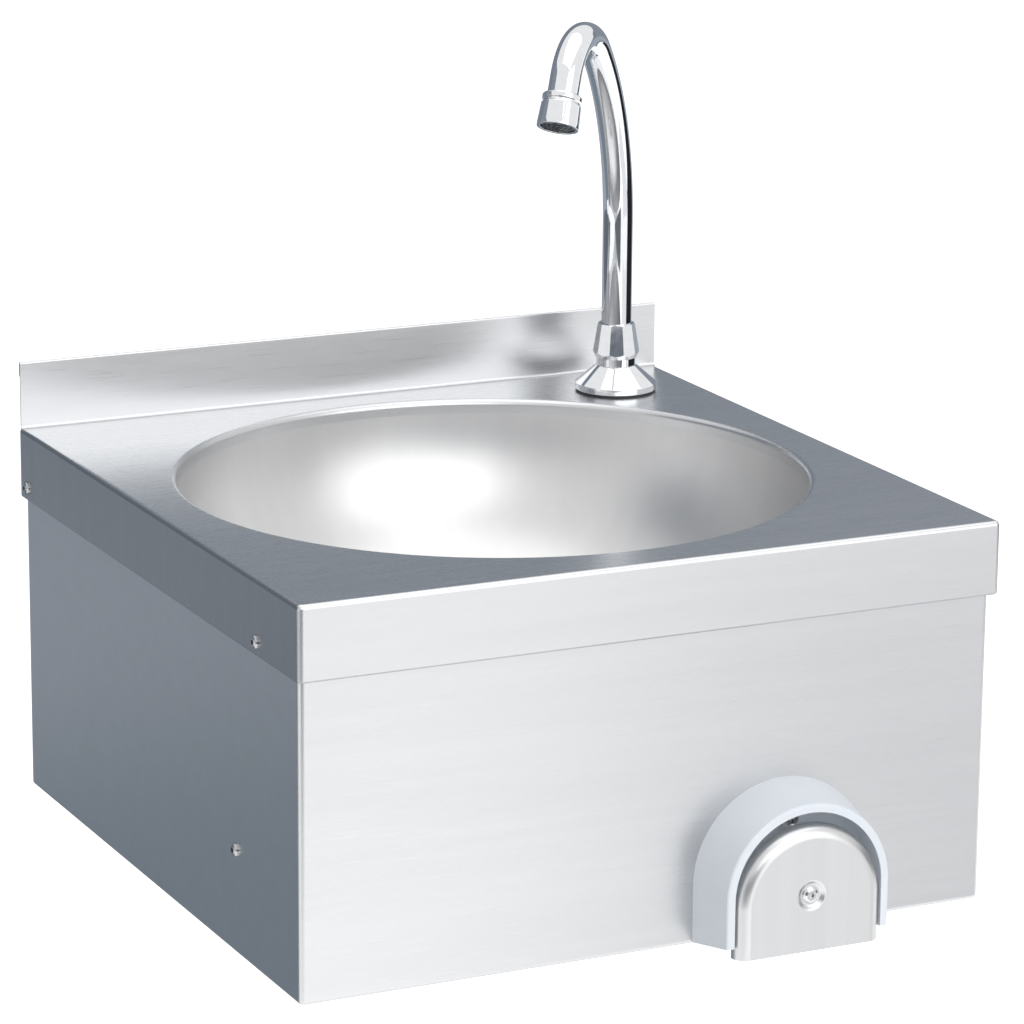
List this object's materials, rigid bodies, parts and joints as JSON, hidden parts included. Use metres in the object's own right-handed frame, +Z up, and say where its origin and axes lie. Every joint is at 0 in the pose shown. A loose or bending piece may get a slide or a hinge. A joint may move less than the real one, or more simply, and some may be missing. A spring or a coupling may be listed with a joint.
{
  "type": "hand wash sink",
  "caption": "Wall-hung stainless steel hand wash sink with a round pressed bowl, splashback, swivelling bent spout and a sprung knee push under the front",
  "frame": {"origin": "centre of the rectangle of four wall bolt holes, on the wall plane", "axes": "+Y into the wall, +Z up, X along the wall; the sink stands out towards -Y"},
  "size_m": [0.4044, 0.4279, 0.4366],
  "materials": {
    "brushed_sheet": "satin rolled sheet",
    "satin_bowl": "satin, polished round the bowl",
    "satin_pad": "bright satin",
    "polished_steel": "polished",
    "screw_steel": "plain bright",
    "chrome_plate": "mirror chrome plate",
    "bare_brass": "as turned",
    "black_rubber": "matt",
    "moulded_white": "plain moulded",
    "guard_moulding": "smooth moulded, light blue-grey"
  },
  "bodies": {
    "basin": {"worktop": "brushed_sheet", "bowl": "satin_bowl", "casing": "brushed_sheet", "apron_screws": "screw_steel", "rivet_nuts": "screw_steel", "rail_screws": "screw_steel", "rail_nuts": "screw_steel", "valve_rail": "brushed_sheet", "upper_waste_gasket": "black_rubber", "lower_waste_gasket": "black_rubber", "drain_strainer": "polished_steel", "waste_body": "moulded_white", "strainer_screw": "polished_steel", "tap_gasket": "black_rubber", "tap_base": "chrome_plate", "tap_body": "chrome_plate", "collar_nut": "chrome_plate", "slip_ring": "moulded_white", "tap_rubber_washer": "black_rubber", "tap_steel_washer": "screw_steel", "tap_backnut": "bare_brass", "knee_guard": "guard_moulding", "guard_screws": "screw_steel", "guard_nuts": "screw_steel", "spindle_bush": "moulded_white", "valve_body": "bare_brass", "lock_washer": "screw_steel", "lock_nut": "bare_brass", "spindle_seal": "black_rubber", "return_spring": "screw_steel", "inlet_manifold": "bare_brass", "manifold_gasket": "black_rubber", "non_return_cartridges": "moulded_white", "riser_pipe": "chrome_plate", "union_nuts": "bare_brass", "union_washers": "black_rubber"},
    "knee_push": {"knee_pad": "satin_pad", "pad_screw": "polished_steel", "push_spindle": "screw_steel", "stop_collar": "bare_brass", "poppet_seal": "black_rubber", "poppet": "bare_brass", "poppet_nut": "bare_brass"},
    "spout": {"spout_tube": "chrome_plate", "spout_foot": "bare_brass", "spout_o_rings": "black_rubber", "aerator_housing": "chrome_plate", "aerator_washer": "black_rubber", "aerator_insert": "moulded_white"}
  },
  "joints": [
    {"name": "knee_press", "type": "slide", "parent": "basin", "child": "knee_push", "axis": [0, 1, 0], "range_m": [0, 0.008], "stiffness_N_per_m": 600, "springref_m": -0.01, "deforming": ["return_spring"]},
    {"name": "spout_swivel", "type": "hinge", "parent": "basin", "child": "spout", "pos_m": [0.15, -0.05, 0.14], "axis": [0, 0, 1], "range_deg": [-60, 150]}
  ]
}
